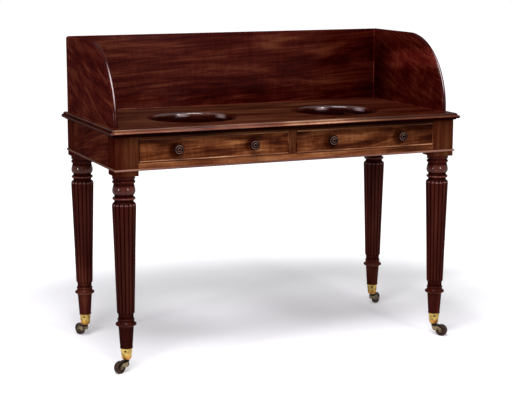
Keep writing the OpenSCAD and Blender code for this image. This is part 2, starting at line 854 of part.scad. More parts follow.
module drawer_sides(side) {
    color([0.60, 0.46, 0.30])
        at_drawer(side)
            difference() {
                union() {
                    for (end = [0, 1])
                        mirror([end, 0, 0])
                            translate([-side_x, inside_y, side_low_z])
                                cube([drawer_side_t, drawer_back_y - inside_y, drawer_side_h]);
                    front_tails(0);
                }
                bottom_plate();
                back_pins(1);
            }
}

module drawer_bottom(side) {
    color([0.62, 0.48, 0.32])
        at_drawer(side)
            difference() {
                bottom_plate();
                translate([0, 0, bottom_z - 1])
                    linear_extrude(drawer_bottom_t + 2)
                        well_plan(side, well_in_r);
            }
}

module drawer_well_wall(side) {
    color([0.58, 0.43, 0.28])
        at_drawer(side)
            translate([0, 0, back_low_z])
                linear_extrude(back_h)
                    intersection() {
                        difference() {
                            well_plan(side, well_out_r);
                            well_plan(side, well_in_r);
                        }
                        translate([-far, -far + drawer_back_y]) square([2 * far, far]);
                    }
}

module drawer_backs(side) {
    well = -side * basin_in;
    inner = side_x - drawer_side_t;
    color([0.60, 0.45, 0.30])
        at_drawer(side) {
            translate([0, drawer_back_y - drawer_side_t, back_low_z]) {
                translate([-inner, 0, 0]) cube([inner + well - well_out_r, drawer_side_t, back_h]);
                translate([well + well_out_r, 0, 0])
                    cube([inner - well - well_out_r, drawer_side_t, back_h]);
            }
            back_pins(0);
        }
}

// Half section of a knob: foot, neck, rounded disc, stepped face and button
module knob_section() {
    r = knob_d / 2;
    foot_r = 0.62 * r;
    neck_r = 0.42 * r;
    button_r = 0.25 * r;
    disc_round = 4;
    face_round = 2;
    groove_r = 1.6;
    disc_z = knob_l - 2 * disc_round;
    difference() {
        union() {
            square([foot_r, 3]);
            square([neck_r, disc_z]);
            translate([0, disc_z - disc_round]) square([r - disc_round, 2 * disc_round]);
            translate([r - disc_round, disc_z]) circle(r = disc_round);
            translate([0, disc_z + 1]) square([foot_r, disc_round + 1.5]);
            translate([foot_r - face_round, disc_z + disc_round + 0.5]) circle(r = face_round);
            translate([0, disc_z]) square([button_r, 2 * disc_round]);
        }
        translate([neck_r, knob_l - 1]) circle(r = groove_r);
    }
}

module drawer_knob(side, x) {
    color([0.22, 0.10, 0.07])
        at_drawer(side)
            translate([x, rail_front_y, knob_z])
                rotate([90, 0, 0])
                    rotate_extrude()
                        intersection() {
                            union() {
                                knob_section();
                                translate([0, -drawer_front_t]) square([knob_pin_d / 2, drawer_front_t + 1]);
                            }
                            translate([0, -far / 2]) square([far, far]);
                        }
}

// ---------- casters ----------

axle_z = wheel_d / 2;
crown_top_z = cup_z - swivel_gap;
crown_h = 3.5;
crown_d = 17;
horn_neck_d = 11;
horn_neck_z = crown_top_z - 14;
arm_t = 3.5;
arm_in = wheel_w / 2 + swivel_gap;
arm_out = arm_in + arm_t;
wheel_room = 2;         // between the wheel's tread and the fork
lobe = [8.5, axle_z + 8];           // middle and radius of the horn's round shoulder
lobe_r = 9.7;
eye = [trail, axle_z];              // middle and radius of the axle's eye
eye_r = 6;
arm_back_r = 40;        // radius of the horn's upper edge
arm_belly_r = 8;        // radius of its hollow lower edge
arm_cross = 0.3;        // by how much those edges cross the shoulder and the eye
axle_head_d = axle_d + 3;
axle_head_h = 1.2;

module at_caster(side, end) {
    which = (end < 0 ? 0 : 2) + (side < 0 ? 0 : 1);
    translate([side * leg_x, mid_y + end * leg_y, 0])
        rotate([0, 0, trail_angles[which]]) children();
}

module caster_cup(side, end) {
    low = cup_low_d / 2;
    top = cup_top_d / 2;
    color([0.83, 0.66, 0.30])
        translate([side * leg_x, mid_y + end * leg_y, 0])
            difference() {
                rotate_extrude()
                    difference() {
                        union() {
                            polygon([[0, foot_z], [low, foot_z], [top, cup_top_z], [0, cup_top_z]]);
                            intersection() {
                                translate([low - cup_boss, foot_z]) circle(r = cup_boss);
                                translate([0, cup_z]) square([low, cup_boss]);
                            }
                            translate([0, cup_z]) square([low - cup_boss, cup_boss]);
                        }
                        polygon([[0, foot_z], [low - cup_t - foot_round, foot_z],
                                 [low - cup_t, foot_z + foot_round], [top - cup_t, cup_top_z],
                                 [top - cup_t, cup_top_z + 1], [0, cup_top_z + 1]]);
                    }
                translate([0, 0, cup_z - 1])
                    cylinder(d = swivel_d + 2 * turn_gap, h = cup_boss + 2);
                at_screws() screw_body(turn_gap);
            }
}

// A countersunk screw, head up at z = 0 and shank along +Z
module screw_body(gap) {
    rotate_extrude()
        polygon([[0, -1], [screw_head_d / 2 + gap, -1], [screw_head_d / 2 + gap, screw_rim],
                 [screw_d / 2 + gap, screw_neck], [screw_d / 2 + gap, screw_l], [0, screw_l]]);
}

module cup_screws() {
    color([0.55, 0.42, 0.20])
        for (side = [-1, 1], end = [-1, 1])
            translate([side * leg_x, mid_y + end * leg_y, 0])
                at_screws()
                    difference() {
                        rotate_extrude()
                            polygon([[0, 0], [screw_head_d / 2, 0], [screw_head_d / 2, screw_rim],
                                     [screw_d / 2, screw_neck], [screw_d / 2, screw_l - 1],
                                     [0, screw_l - 1]]);
                        translate([-screw_head_d, -0.5, -1]) cube([2 * screw_head_d, 1, 1.6]);
                    }
}

// Middle of a circle that lies at distances ra and rb from points a and b, to one side of them
function meet(a, ra, b, rb, side) =
    let (v = b - a, l = norm(v), along = (l * l + ra * ra - rb * rb) / (2 * l),
         off = sqrt(ra * ra - along * along))
    a + v * along / l + side * [-v[1], v[0]] * off / l;

function towards(from, to, r) = from + (to - from) * r / norm(to - from);

// Side view of the horn: a round shoulder swept back to the axle's eye between two arcs
module horn_plan() {
    back_r = arm_back_r + arm_cross;
    belly_r = arm_belly_r - arm_cross;
    back = meet(lobe, back_r - lobe_r, eye, back_r - eye_r, -1);
    belly = meet(lobe, belly_r + lobe_r, eye, belly_r + eye_r, -1);
    beyond = arm_back_r + 5;     // clear of the arc
    translate(lobe) circle(r = lobe_r);
    translate(eye) circle(r = eye_r);
    difference() {
        intersection() {
            translate(back) circle(r = arm_back_r);
            polygon([lobe, towards(back, lobe, beyond), towards(back, eye, beyond), eye, belly]);
        }
        translate(belly) circle(r = arm_belly_r);
    }
}

// The fork, its neck and the swivel pin that is riveted over inside the cup
module caster_horn(side, end) {
    rivet_z = foot_z + rivet_gap;
    color([0.42, 0.34, 0.18])
        at_caster(side, end) {
            difference() {
                union() {
                    translate([0, arm_out, 0]) rotate([90, 0, 0]) linear_extrude(2 * arm_out) horn_plan();
                    rotate_extrude()
                        polygon([[0, horn_neck_z], [horn_neck_d / 2, horn_neck_z],
                                 [crown_d / 2, crown_top_z - crown_h], [crown_d / 2, crown_top_z],
                                 [0, crown_top_z]]);
                }
                translate([trail, arm_in, axle_z])
                    rotate([90, 0, 0]) cylinder(r = wheel_d / 2 + wheel_room, h = 2 * arm_in);
                translate([trail, arm_out + 1, axle_z])
                    rotate([90, 0, 0]) cylinder(d = axle_d + 2 * turn_gap, h = 2 * arm_out + 2);
            }
            translate([0, 0, crown_top_z - 1]) cylinder(d = swivel_d, h = rivet_z - crown_top_z + 2);
            translate([0, 0, rivet_z]) cylinder(d = rivet_d, h = rivet_h);
        }
}

module caster_axle(side, end) {
    color([0.50, 0.42, 0.24])
        at_caster(side, end)
            translate([trail, 0, axle_z])
                rotate([90, 0, 0]) {
                    translate([0, 0, -arm_out]) cylinder(d = axle_d, h = 2 * arm_out);
                    for (z = [-arm_out - axle_head_h, arm_out])
                        translate([0, 0, z]) cylinder(d = axle_head_d, h = axle_head_h);
                }
}

wheel_round = 3;        // rounding of the tread's edges
dish_in_d = 13;         // the hollow between hub and rim on each face
dish_out_d = 28;
dish_depth = 2;

module caster_wheel(side, end) {
    r = wheel_d / 2;
    w = wheel_w / 2;
    color([0.38, 0.32, 0.18])
        at_caster(side, end)
            translate([trail, 0, axle_z])
                rotate([90, 0, 0])
                    rotate_extrude()
                        difference() {
                            union() {
                                translate([0, -w]) square([r - wheel_round, wheel_w]);
                                translate([0, -w + wheel_round])
                                    square([r, wheel_w - 2 * wheel_round]);
                                for (z = [-w + wheel_round, w - wheel_round])
                                    translate([r - wheel_round, z]) circle(r = wheel_round);
                            }
                            translate([0, -w - 1]) square([axle_d / 2 + turn_gap, wheel_w + 2]);
                            for (z = [-w - 1, w - dish_depth])
                                translate([dish_in_d / 2, z])
                                    square([(dish_out_d - dish_in_d) / 2, dish_depth + 1]);
                        }
}

// ---------- nodes ----------

top_board();
gallery_back();
gallery_end();  // gallery_left_end
mirror([1, 0, 0]) gallery_end();  // gallery_right_end
leg(-1, -1);  // leg_front_left
leg(1, -1);  // leg_front_right
leg(-1, 1);  // leg_back_left
leg(1, 1);  // leg_back_right
side_rail();  // side_rail_left
mirror([1, 0, 0]) side_rail();  // side_rail_right
back_rail();
front_top_rail();
front_bottom_rail();
drawer_divider();
bead_front();
bead_side();  // bead_left
mirror([1, 0, 0]) bead_side();  // bead_right
drawer_runners();
drawer_guides();
drawer_kickers();
drawer_stops();
glue_blocks();
drawer_front(-1);  // left_drawer_front
drawer_cockbead(-1);  // left_drawer_cockbead
drawer_sides(-1);  // left_drawer_sides
drawer_backs(-1);  // left_drawer_backs
drawer_well_wall(-1);  // left_drawer_well_wall
drawer_bottom(-1);  // left_drawer_bottom
drawer_knob(-1, -knob_x);  // left_drawer_knob_left
drawer_knob(-1, knob_x);  // left_drawer_knob_right
drawer_front(1);  // right_drawer_front
drawer_cockbead(1);  // right_drawer_cockbead
drawer_sides(1);  // right_drawer_sides
drawer_backs(1);  // right_drawer_backs
drawer_well_wall(1);  // right_drawer_well_wall
drawer_bottom(1);  // right_drawer_bottom
drawer_knob(1, -knob_x);  // right_drawer_knob_left
drawer_knob(1, knob_x);  // right_drawer_knob_right
caster_cup(-1, -1);  // caster_cup_front_left
caster_horn(-1, -1);  // caster_horn_front_left
caster_wheel(-1, -1);  // caster_wheel_front_left
caster_axle(-1, -1);  // caster_axle_front_left
caster_cup(1, -1);  // caster_cup_front_right
caster_horn(1, -1);  // caster_horn_front_right
caster_wheel(1, -1);  // caster_wheel_front_right
caster_axle(1, -1);  // caster_axle_front_right
caster_cup(-1, 1);  // caster_cup_back_left
caster_horn(-1, 1);  // caster_horn_back_left
caster_wheel(-1, 1);  // caster_wheel_back_left
caster_axle(-1, 1);  // caster_axle_back_left
caster_cup(1, 1);  // caster_cup_back_right
caster_horn(1, 1);  // caster_horn_back_right
caster_wheel(1, 1);  // caster_wheel_back_right
caster_axle(1, 1);  // caster_axle_back_right
cup_screws();
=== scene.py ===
"""Finishes and fine turning of a mahogany double washstand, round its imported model."""

from math import cos, pi, radians, sin

import bmesh
import bpy
from mathutils import Matrix, Vector


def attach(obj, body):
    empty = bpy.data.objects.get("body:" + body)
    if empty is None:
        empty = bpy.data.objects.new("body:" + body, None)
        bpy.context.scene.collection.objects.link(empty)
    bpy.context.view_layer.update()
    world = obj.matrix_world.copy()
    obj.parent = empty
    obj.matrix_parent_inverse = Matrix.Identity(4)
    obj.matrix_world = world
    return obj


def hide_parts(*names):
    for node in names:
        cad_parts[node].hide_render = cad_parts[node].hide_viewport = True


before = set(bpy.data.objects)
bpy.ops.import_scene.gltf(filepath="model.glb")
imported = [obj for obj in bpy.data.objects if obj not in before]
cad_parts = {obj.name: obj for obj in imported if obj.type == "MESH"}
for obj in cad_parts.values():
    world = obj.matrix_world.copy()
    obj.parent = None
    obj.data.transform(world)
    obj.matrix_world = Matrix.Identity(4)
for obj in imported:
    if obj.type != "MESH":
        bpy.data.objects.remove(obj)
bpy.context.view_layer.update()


# ---------- camera, floor and light ----------
# The camera stands where the photograph's stood: to the left, a little above the top.
# The floor is pale paper with some light of its own. It keeps the shadow, and goes over
# into the white round it, which is only seen and reflected.

camera = bpy.data.objects.new("camera", bpy.data.cameras.new("camera"))
bpy.context.scene.collection.objects.link(camera)
camera.location = (-1.8464, -4.2898, 1.3031)
camera.rotation_euler = (radians(79.857), 0, radians(-23.109))
camera.data.sensor_width = 36
camera.data.lens = 99.71
bpy.context.scene.camera = camera
bpy.context.scene.view_settings.view_transform = "Standard"


class Wire:
    """One socket of a node tree. Arithmetic on it adds Math nodes to the tree."""

    def __init__(self, tree, socket=None):
        self.tree = tree
        self.socket = socket

    def node(self, kind, settings=None, inputs=None, out=0):
        """A node of this kind: its settings first, then the values or wires of its inputs."""
        made = self.tree.nodes.new(kind)
        for name, value in (settings or {}).items():
            if name == "stops":
                ramp = made.color_ramp.elements
                while len(ramp) < len(value):
                    ramp.new(0.5)
                for stop, (place, colour) in zip(ramp, value):
                    stop.position = place
                    stop.color = (*colour, 1)
            else:
                setattr(made, name, value)
        for name, value in (inputs or {}).items():
            if isinstance(value, Wire):
                self.tree.links.new(value.socket, made.inputs[name])
            else:
                made.inputs[name].default_value = value
        return Wire(self.tree, made.outputs[out] if len(made.outputs) else None)

    def maths(self, operation, a, b=0.0):
        return self.node("ShaderNodeMath", {"operation": operation}, {0: a, 1: b})

    def __add__(self, other):
        return self.maths("ADD", self, other)

    def __sub__(self, other):
        return self.maths("SUBTRACT", self, other)

    def __rsub__(self, other):
        return self.maths("SUBTRACT", other, self)

    def __mul__(self, other):
        return self.maths("MULTIPLY", self, other)

    def __truediv__(self, other):
        return self.maths("DIVIDE", self, other)

    def __abs__(self):
        return self.maths("ABSOLUTE", self)

    __radd__ = __add__
    __rmul__ = __mul__

    def over(self, low, high):
        """0 below low, 1 above high, smooth between them."""
        return self.node(
            "ShaderNodeMapRange",
            {"interpolation_type": "SMOOTHSTEP"},
            {"Value": self, "From Min": low, "From Max": high},
        )

    def outputs(self):
        """All outputs of this socket's node, by name."""
        return {out.name: Wire(self.tree, out) for out in self.socket.node.outputs}

    def parts(self):
        """The x, y and z of a place."""
        return list(self.node("ShaderNodeSeparateXYZ", inputs={0: self}).outputs().values())


def bare_tree(owner):
    """A wire on the emptied node tree of a material or a world."""
    owner.use_nodes = True
    owner.node_tree.nodes.clear()
    return Wire(owner.node_tree)


def shown_white(tree, lit):
    """lit for light that falls on the room, and 1 for what is seen or reflected of it."""
    ray = tree.node("ShaderNodeLightPath").outputs()
    seen = ray["Is Camera Ray"] + ray["Is Glossy Ray"] + ray["Is Transmission Ray"]
    return tree.maths("MINIMUM", seen, 1.0) * (1 - lit) + lit


room = bpy.data.worlds.new("room")
bpy.context.scene.world = room
air = bare_tree(room)
glow = air.node(
    "ShaderNodeBackground",
    inputs={"Color": (1, 1, 1, 1), "Strength": shown_white(air, 0.38)},
)
air.node("ShaderNodeOutputWorld", inputs={"Surface": glow})

floor_finish = bpy.data.materials.new("floor_paper")
paper = bare_tree(floor_finish)
spot = paper.node("ShaderNodeTexCoord", out="Object")
away = paper.node("ShaderNodeVectorMath", {"operation": "LENGTH"}, {0: spot}, "Value")
floor_x, floor_y, _ = spot.parts()
# painted shadow and painted light: the paper's own light is made weaker under the piece, and
# stronger past its right end
under = floor_y.over(-0.22, -0.02) * (1 - floor_y.over(0.35, 0.65))
under = under * (1 - abs(floor_x).over(0.5, 0.75))
beside = floor_x.over(0.76, 0.94) * (1 - floor_y.over(0.40, 0.60))
lift = away.over(0.95, 1.6) * 0.5 + 0.28 - under * 0.11 + beside * 0.2
sheet = paper.node("ShaderNodeBsdfDiffuse", inputs={"Color": (0.80, 0.785, 0.83, 1)})
gleam = paper.node(
    "ShaderNodeEmission",
    inputs={"Color": (1, 1, 1, 1), "Strength": shown_white(paper, 0.0) * lift},
)
both = paper.node("ShaderNodeAddShader", inputs={0: sheet, 1: gleam})
paper.node("ShaderNodeOutputMaterial", inputs={"Surface": both})

FLOOR_REACH = 20
floor_mesh = bmesh.new()
bmesh.ops.create_grid(floor_mesh, x_segments=1, y_segments=1, size=FLOOR_REACH)
floor_data = bpy.data.meshes.new("floor")
floor_mesh.to_mesh(floor_data)
floor_mesh.free()
floor = bpy.data.objects.new("floor", floor_data)
floor.data.materials.append(floor_finish)
bpy.context.scene.collection.objects.link(floor)

# name: power in watts, the two sides of its rectangle, and its place, in metres
LAMPS = {
    "key": (100, (1.5, 1.1), (-1.0, -1.45, 3.1)),
    "low_left": (38, (0.4, 0.32), (-3.6, -1.3, 0.95)),
    "low_right": (30, (0.4, 0.32), (0.85, -3.2, 1.15)),
}
LAMP_AIM = Vector((0, 0, 0.6))
for name, (power, (long, wide), place) in LAMPS.items():
    lamp = bpy.data.lights.new(name, "AREA")
    lamp.energy = power
    lamp.shape = "RECTANGLE"
    lamp.size = long
    lamp.size_y = wide
    stand = bpy.data.objects.new(name, lamp)
    stand.location = place
    stand.rotation_euler = (LAMP_AIM - stand.location).to_track_quat("-Z", "Y").to_euler()
    bpy.context.scene.collection.objects.link(stand)


# ---------- top ----------
# One wide board of polished mahogany, its edge run with an ovolo and a torus by a
# moulding plane, its two basin holes cut and rounded over. It is screwed to the frame.

TOP_Z = 0.762
OVOLO_FOOT_Z = 0.756
TORUS_TOP_Z = 0.755
TORUS_MIDDLE_Z = 0.7495
# the mouldings lie in front of EDGE_Y, and at the ends from END_EDGE_X outwards
EDGE_Y = -0.260
END_EDGE_X = (0.5880, 0.5905)
HOLE_X = 0.255
HOLE_Y = -0.037
HOLE_R = 0.1385
# where the painted highlights lie on the rims: turns from straight back towards the right
RIM_GLINT_TURNS = (radians(7), radians(64))
GALLERY_BACK_Y = 0.265


def blended(share, first, second, way="MIX"):
    """Two colours mixed, or the first multiplied by the second, by as much as share says.

    The node keeps a set of sockets for each kind of data: 6 and 7 take the colours.
    """
    first, second = [c if isinstance(c, Wire) else (*c, 1) for c in (first, second)]
    settings = {"data_type": "RGBA", "blend_type": way}
    return share.node("ShaderNodeMix", settings, {0: share, 6: first, 7: second}, 2)


# where in the grain's tone, from 0 to 1, each of a timber's four shades lies
SHADE_PLACES = (0.36, 0.46, 0.54, 0.64)
PORE_TINT = (0.40, 0.33, 0.30)


def timber(
    name, grain, shades, turn=(0, 0, 0), seed=0.0, figure=1.0, polish=0.1, marks=(), painted_highlights=()
):
    """Wood whose fibres follow the axis grain, in four shades from dark to light.

    turn leans the fibres, seed picks the board, and figure says how far its grain wanders.
    Each mark is an area that hands or dust changed, or a painted shade or highlight: where it
    lies, as a share worked out from x, y and z, the factors on its colour, and its polish. The
    painted highlights listed last name their own colour in place of the factors.
    """
    made = bpy.data.materials.new(name)
    tree = bare_tree(made)
    spot = tree.node("ShaderNodeTexCoord", out="Object")
    board = tree.node(
        "ShaderNodeMapping",
        inputs={"Vector": spot, "Location": (seed, seed * 0.7, seed * 1.3), "Rotation": turn},
    )

    def streaks(across, along, detail, bend=0.0):
        """Noise drawn out along the fibres, so many to the metre across and along them."""
        scale = [across, across, across]
        scale["XYZ".index(grain)] = along
        drawn = tree.node(
            "ShaderNodeVectorMath", {"operation": "MULTIPLY"}, {0: board, 1: scale}
        )
        return tree.node(
            "ShaderNodeTexNoise",
            inputs={
                "Vector": drawn,
                "Scale": 1.0,
                "Detail": detail,
                "Roughness": 0.55,
                "Distortion": bend,
            },
        )

    flame = streaks(8, 1.7, 2.0, 2.0 * figure)
    bands = streaks(38, 2.8, 4.0, 1.4 * figure)
    lines = streaks(230, 7.0, 3.0, 0.4)
    ripple = streaks(14, 46, 2.0, 1.6)
    pores = streaks(1300, 60, 1.0).over(0.58, 0.68)
    tone = flame * 0.49 + bands * 0.31 + lines * 0.20 + (ripple - 0.5) * 0.08 * figure
    colour = tree.node(
        "ShaderNodeValToRGB",
        {"stops": list(zip(SHADE_PLACES, shades))},
        {"Fac": tone},
    )
    colour = blended(pores * 0.5, colour, PORE_TINT, "MULTIPLY")
    gloss = polish - pores * (polish * 0.4)
    x, y, z = spot.parts()
    changes = [(*mark, "MULTIPLY") for mark in marks] + [(*mark, "MIX") for mark in painted_highlights]
    for where, shade, shine, way in changes:
        area = where(x, y, z)
        colour = blended(area, colour, shade, way)
        gloss = gloss + area * (shine - polish)
    bump = tree.node(
        "ShaderNodeBump",
        inputs={"Strength": 0.2, "Distance": 0.0002, "Height": lines * 0.6 - pores},
    )
    wood = tree.node(
        "ShaderNodeBsdfPrincipled",
        inputs={
            "Base Color": colour,
            "Roughness": 0.5 + (lines - 0.5) * 0.16,
            "Specular IOR Level": 0.0,
            "Coat Weight": gloss,
            "Coat Roughness": 0.14,
            "Normal": bump,
        },
    )
    tree.node("ShaderNodeOutputMaterial", inputs={"Surface": wood})
    return made


def apart(a, b):
    """The distance in a plane from the middle that a and b are measured from."""
    return a.maths("SQRT", a * a + b * b)


def between(a, low, high, soft=0.0006):
    """1 where a lies between two values."""
    return a.over(low - soft, low + soft) * (1 - a.over(high - soft, high + soft))


def dress(material, *names):
    """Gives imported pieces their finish."""
    for name in names:
        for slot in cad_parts[name].material_slots:
            slot.material = material


def from_hole(x, y):
    """The distance from the middle of the nearest hole."""
    return apart(abs(x) - HOLE_X, y - HOLE_Y)


def hole_rims(x, y, z):
    """The rounded rims, which the basins have polished."""
    return 1 - from_hole(x, y).over(HOLE_R + 0.006, HOLE_R + 0.010)


def hole_wall_shade(x, y, z):
    """The walls of the holes under their rims, painted dark as shade."""
    inside = 1 - from_hole(x, y).over(HOLE_R, HOLE_R + 0.001)
    return inside * (1 - z.over(TOP_Z - 0.014, TOP_Z - 0.009))


def rim_glints(x, y, z):
    """Two places at the back of each hole's rim, painted pale as highlights."""
    from_middle = x + HOLE_X - x.over(-0.001, 0.001) * (2 * HOLE_X)
    inner = 1 - apart(from_middle, y - HOLE_Y).over(HOLE_R + 0.003, HOLE_R + 0.005)
    inner = inner * between(z, TOP_Z - 0.0145, TOP_Z - 0.0045, 0.002)
    reach = HOLE_R + 0.0005
    # painted highlights, one round each of these turns
    rubbed = [
        1 - apart(from_middle - reach * sin(a), y - HOLE_Y - reach * cos(a)).over(0.002, 0.030)
        for a in RIM_GLINT_TURNS
    ]
    return inner * (rubbed[0] + rubbed[1])


def front_edge(y):
    """The outer strip of the top along the front, with its mouldings."""
    return 1 - y.over(EDGE_Y, EDGE_Y + 0.0025)


def front_arris_highlight(x, y, z):
    """The upper corner of the moulded front edge and the curve under it, painted lighter as a
    highlight.
    """
    return front_edge(y) * z.over(OVOLO_FOOT_Z, OVOLO_FOOT_Z + 0.001)


def front_corner_highlight(x, y, z):
    """The line along the very corner, a painted highlight except at the right."""
    worn = z.over(TOP_Z - 0.0028, TOP_Z - 0.0016)
    return front_arris_highlight(x, y, z) * worn * (1 - x.over(0.05, 0.25))


def front_nose_highlight(x, y, z):
    """The upper half of the torus, painted pale as a highlight."""
    nose = 1 - y.over(EDGE_Y - 0.007, EDGE_Y - 0.005)
    return nose * between(z, TORUS_MIDDLE_Z + 0.0013, TORUS_TOP_Z + 0.0002)


def front_right(x, y, z):
    """The right part of that edge, painted darker, where the painted highlights are weaker."""
    upper = z.over(TORUS_MIDDLE_Z, TORUS_MIDDLE_Z + 0.001)
    return front_edge(y) * upper * x.over(0.12, 0.32)


def front_underside_shade(x, y, z):
    """The lower half of the torus and the hollow under it, painted dark as shade."""
    lower = 1 - z.over(TORUS_MIDDLE_Z - 0.0007, TORUS_MIDDLE_Z + 0.0007)
    return (1 - y.over(EDGE_Y, EDGE_Y + 0.002)) * lower


def side_edges(x, y, z):
    """The mouldings of both ends, darker."""
    return abs(x).over(*END_EDGE_X)


def side_line_highlights(x, y, z):
    """The corners of those mouldings, painted paler as highlights."""
    upper = between(z, TOP_Z - 0.0022, TOP_Z - 0.0008, 0.0004)
    lower = between(z, TORUS_MIDDLE_Z, TORUS_MIDDLE_Z + 0.0015, 0.0004)
    return side_edges(x, y, z) * (upper + lower)


def right_part(x, y, z):
    """The right part of the piece, made darker by the marks that use it."""
    return x.over(0.15, 0.55)


def left_part(x, y, z):
    """The left part, a little darker than the middle."""
    return 1 - x.over(-0.42, -0.12)


def back_joint_highlight(x, y, z):
    """The line along the foot of the gallery's back, painted light where light catches the joint.
    """
    return y.over(GALLERY_BACK_Y - 0.0035, GALLERY_BACK_Y - 0.0015)


TOP_SHADES = [
    (0.020, 0.0026, 0.0013), (0.038, 0.0080, 0.0036),
    (0.063, 0.0175, 0.0080), (0.100, 0.0350, 0.0170),
]
top_wood = timber(
    "top_wood", "X", TOP_SHADES, seed=3.1,
    marks=[
        (right_part, (0.88, 0.50, 0.50), 0.07),
        (left_part, (0.86, 0.82, 0.80), 0.1),
        (side_edges, (0.46, 0.27, 0.26), 0.02),
        (front_arris_highlight, (2.5, 3.5, 3.9), 0.3),
        (front_corner_highlight, (1.5, 2.0, 2.2), 0.4),
        (front_nose_highlight, (6.0, 10.0, 12.5), 0.35),
        (front_right, (0.42, 0.44, 0.36), 0.1),
        (front_underside_shade, (0.16, 0.08, 0.08), 0.0),
        (hole_rims, (0.7, 0.45, 0.45), 1.0),
        (hole_wall_shade, (0.30, 0.18, 0.18), 0.1),
        (back_joint_highlight, (1.8, 2.0, 2.2), 0.1),
    ],
    painted_highlights=[(rim_glints, (0.19, 0.125, 0.13), 0.5), (side_line_highlights, (0.080, 0.042, 0.038), 0.05)],
)
dress(top_wood, "top_board")


# ---------- gallery ----------
# Three thinner boards of flame mahogany stand on the top, mitred at the back corners.
# Their upper edges are rounded, and the ends come down to the front in a quarter round.

# the middle and the radius of the ends' quarter round
CURVE_Y = 0.018
CURVE_Z = 0.770
CURVE_R = 0.242
END_INNER_X = 0.562
# the crest of that edge, where a highlight is painted, and the paler band on the right end
CREST_X = (0.5682, 0.5712)
CREST_Z = (0.835, 0.935)
BAND_Z = (0.895, 0.950)


def end_round(x, y, z):
    """The rounded outer edge of an end, from its foot up the curve."""
    reach = apart(y - CURVE_Y, z - CURVE_Z)
    return reach.over(CURVE_R - 0.006, CURVE_R - 0.003) * (1 - y.over(CURVE_Y - 0.078, CURVE_Y))


def end_crest_highlight(x, y, z):
    """The middle of that edge, painted pale as a highlight."""
    return end_round(x, y, z) * between(abs(x), *CREST_X) * between(z, *CREST_Z, 0.03)


def foot_line(x, y, z):
    """The line along the boards' foot, where light catches the joint with the top."""
    return 1 - z.over(TOP_Z + 0.0016, TOP_Z + 0.0030)


def back_corner_highlight(x, y, z):
    """The same line up the right back corner, a painted highlight."""
    return between(x, END_INNER_X - 0.004, END_INNER_X + 0.0005, 0.0004)


def end_corner_shade(x, y, z):
    """The right end's lower part next to the back, painted nearly black as shade in the corner."""
    return right_part(x, y, z) * y.over(0.08, 0.22) * (1 - z.over(0.93, 0.99))


def right_end_band(x, y, z):
    """A paler band across the right end, sinking a little towards the back."""
    band = between(z + y * 0.08, *BAND_Z, 0.014)
    return right_part(x, y, z) * band * (1 - y.over(0.06, 0.24))


GALLERY_SHADES = [
    (0.012, 0.0006, 0.0005), (0.030, 0.0020, 0.0012),
    (0.055, 0.0072, 0.0036), (0.110, 0.0280, 0.0120),
]
END_SHADES = [
    (0.018, 0.0010, 0.0008), (0.036, 0.0025, 0.0016),
    (0.055, 0.0072, 0.0036), (0.090, 0.0210, 0.0100),
]
gallery_back_wood = timber(
    "gallery_back_wood", "X", GALLERY_SHADES,
    turn=(0, radians(3), 0), seed=5.3, figure=1.3, polish=0.045,
    marks=[
        (right_part, (0.47, 0.22, 0.22), 0.02),
        (left_part, (0.88, 0.80, 0.78), 0.045),
        (foot_line, (2.4, 3.0, 3.4), 0.1),
        (back_corner_highlight, (3.4, 6.0, 8.0), 0.1),
    ],
)
gallery_end_wood = timber(
    "gallery_end_wood", "Y", END_SHADES,
    turn=(radians(-17), 0, 0), seed=7.7, figure=2.2, polish=0.01,
    marks=[
        (right_part, (0.78, 0.60, 0.60), 0.01),
        (end_corner_shade, (0.42, 0.24, 0.22), 0.01),
        (right_end_band, (2.2, 2.8, 3.2), 0.01),
        (end_round, (0.7, 0.5, 0.5), 0.12),
        (foot_line, (2.4, 3.6, 4.2), 0.05),
    ],
    painted_highlights=[(end_crest_highlight, (0.42, 0.34, 0.35), 0.5)],
)
dress(gallery_back_wood, "gallery_back")
dress(gallery_end_wood, "gallery_left_end", "gallery_right_end")


# ---------- legs ----------
# Each leg is one length of mahogany. Its square head takes the rails; below it the wood is
# turned in rings and hollows, reeded on the taper, and turned again down to the brass cup.

# the turner's sizes are in millimetres, heights above the floor
MM = 0.001
LEG_X = 547.5
LEG_Y = 225.5
LEGS_MIDDLE_Y = 4
LEG_AXES = {
    "front_left": (-LEG_X, LEGS_MIDDLE_Y - LEG_Y),
    "front_right": (LEG_X, LEGS_MIDDLE_Y - LEG_Y),
    "back_left": (-LEG_X, LEGS_MIDDLE_Y + LEG_Y),
    "back_right": (LEG_X, LEGS_MIDDLE_Y + LEG_Y),
}
BLOCK_W = 73
BLOCK_TOP_Z = 740
BLOCK_FOOT_Z = 619
BLOCK_ARRIS = 0.7
REEDS = 15
REED_TOP_Z = 528
REED_TOP_D = 74.5
REED_FOOT_Z = 192
REED_FOOT_D = 55
# how thick a reed is, as a share of the leg's radius, so that neighbours sink into each other
REED_FULLNESS = 1.237
# how much the reeded part's radius grows with its height
REED_TAPER = 0.02902
# the neck: radii, and how far each form's middle lies below the block
RING_R = 35.5
RING_H = 8
NECK_R = 29.5
COLLAR_R = 35
COLLAR_H = 10.5
UPPER_RING = 19.5
VASE_FILLET = 26.5
VASE_MIDDLE = 48
LOWER_RING = 70.5
VASE_BACK_R = 50
VASE_FOOT_R = 14
# degrees up each round to where the next form begins
VASE_BACK_END = 25.4
UPPER_RING_END = 51.3
REED_LIP_R = 31.9
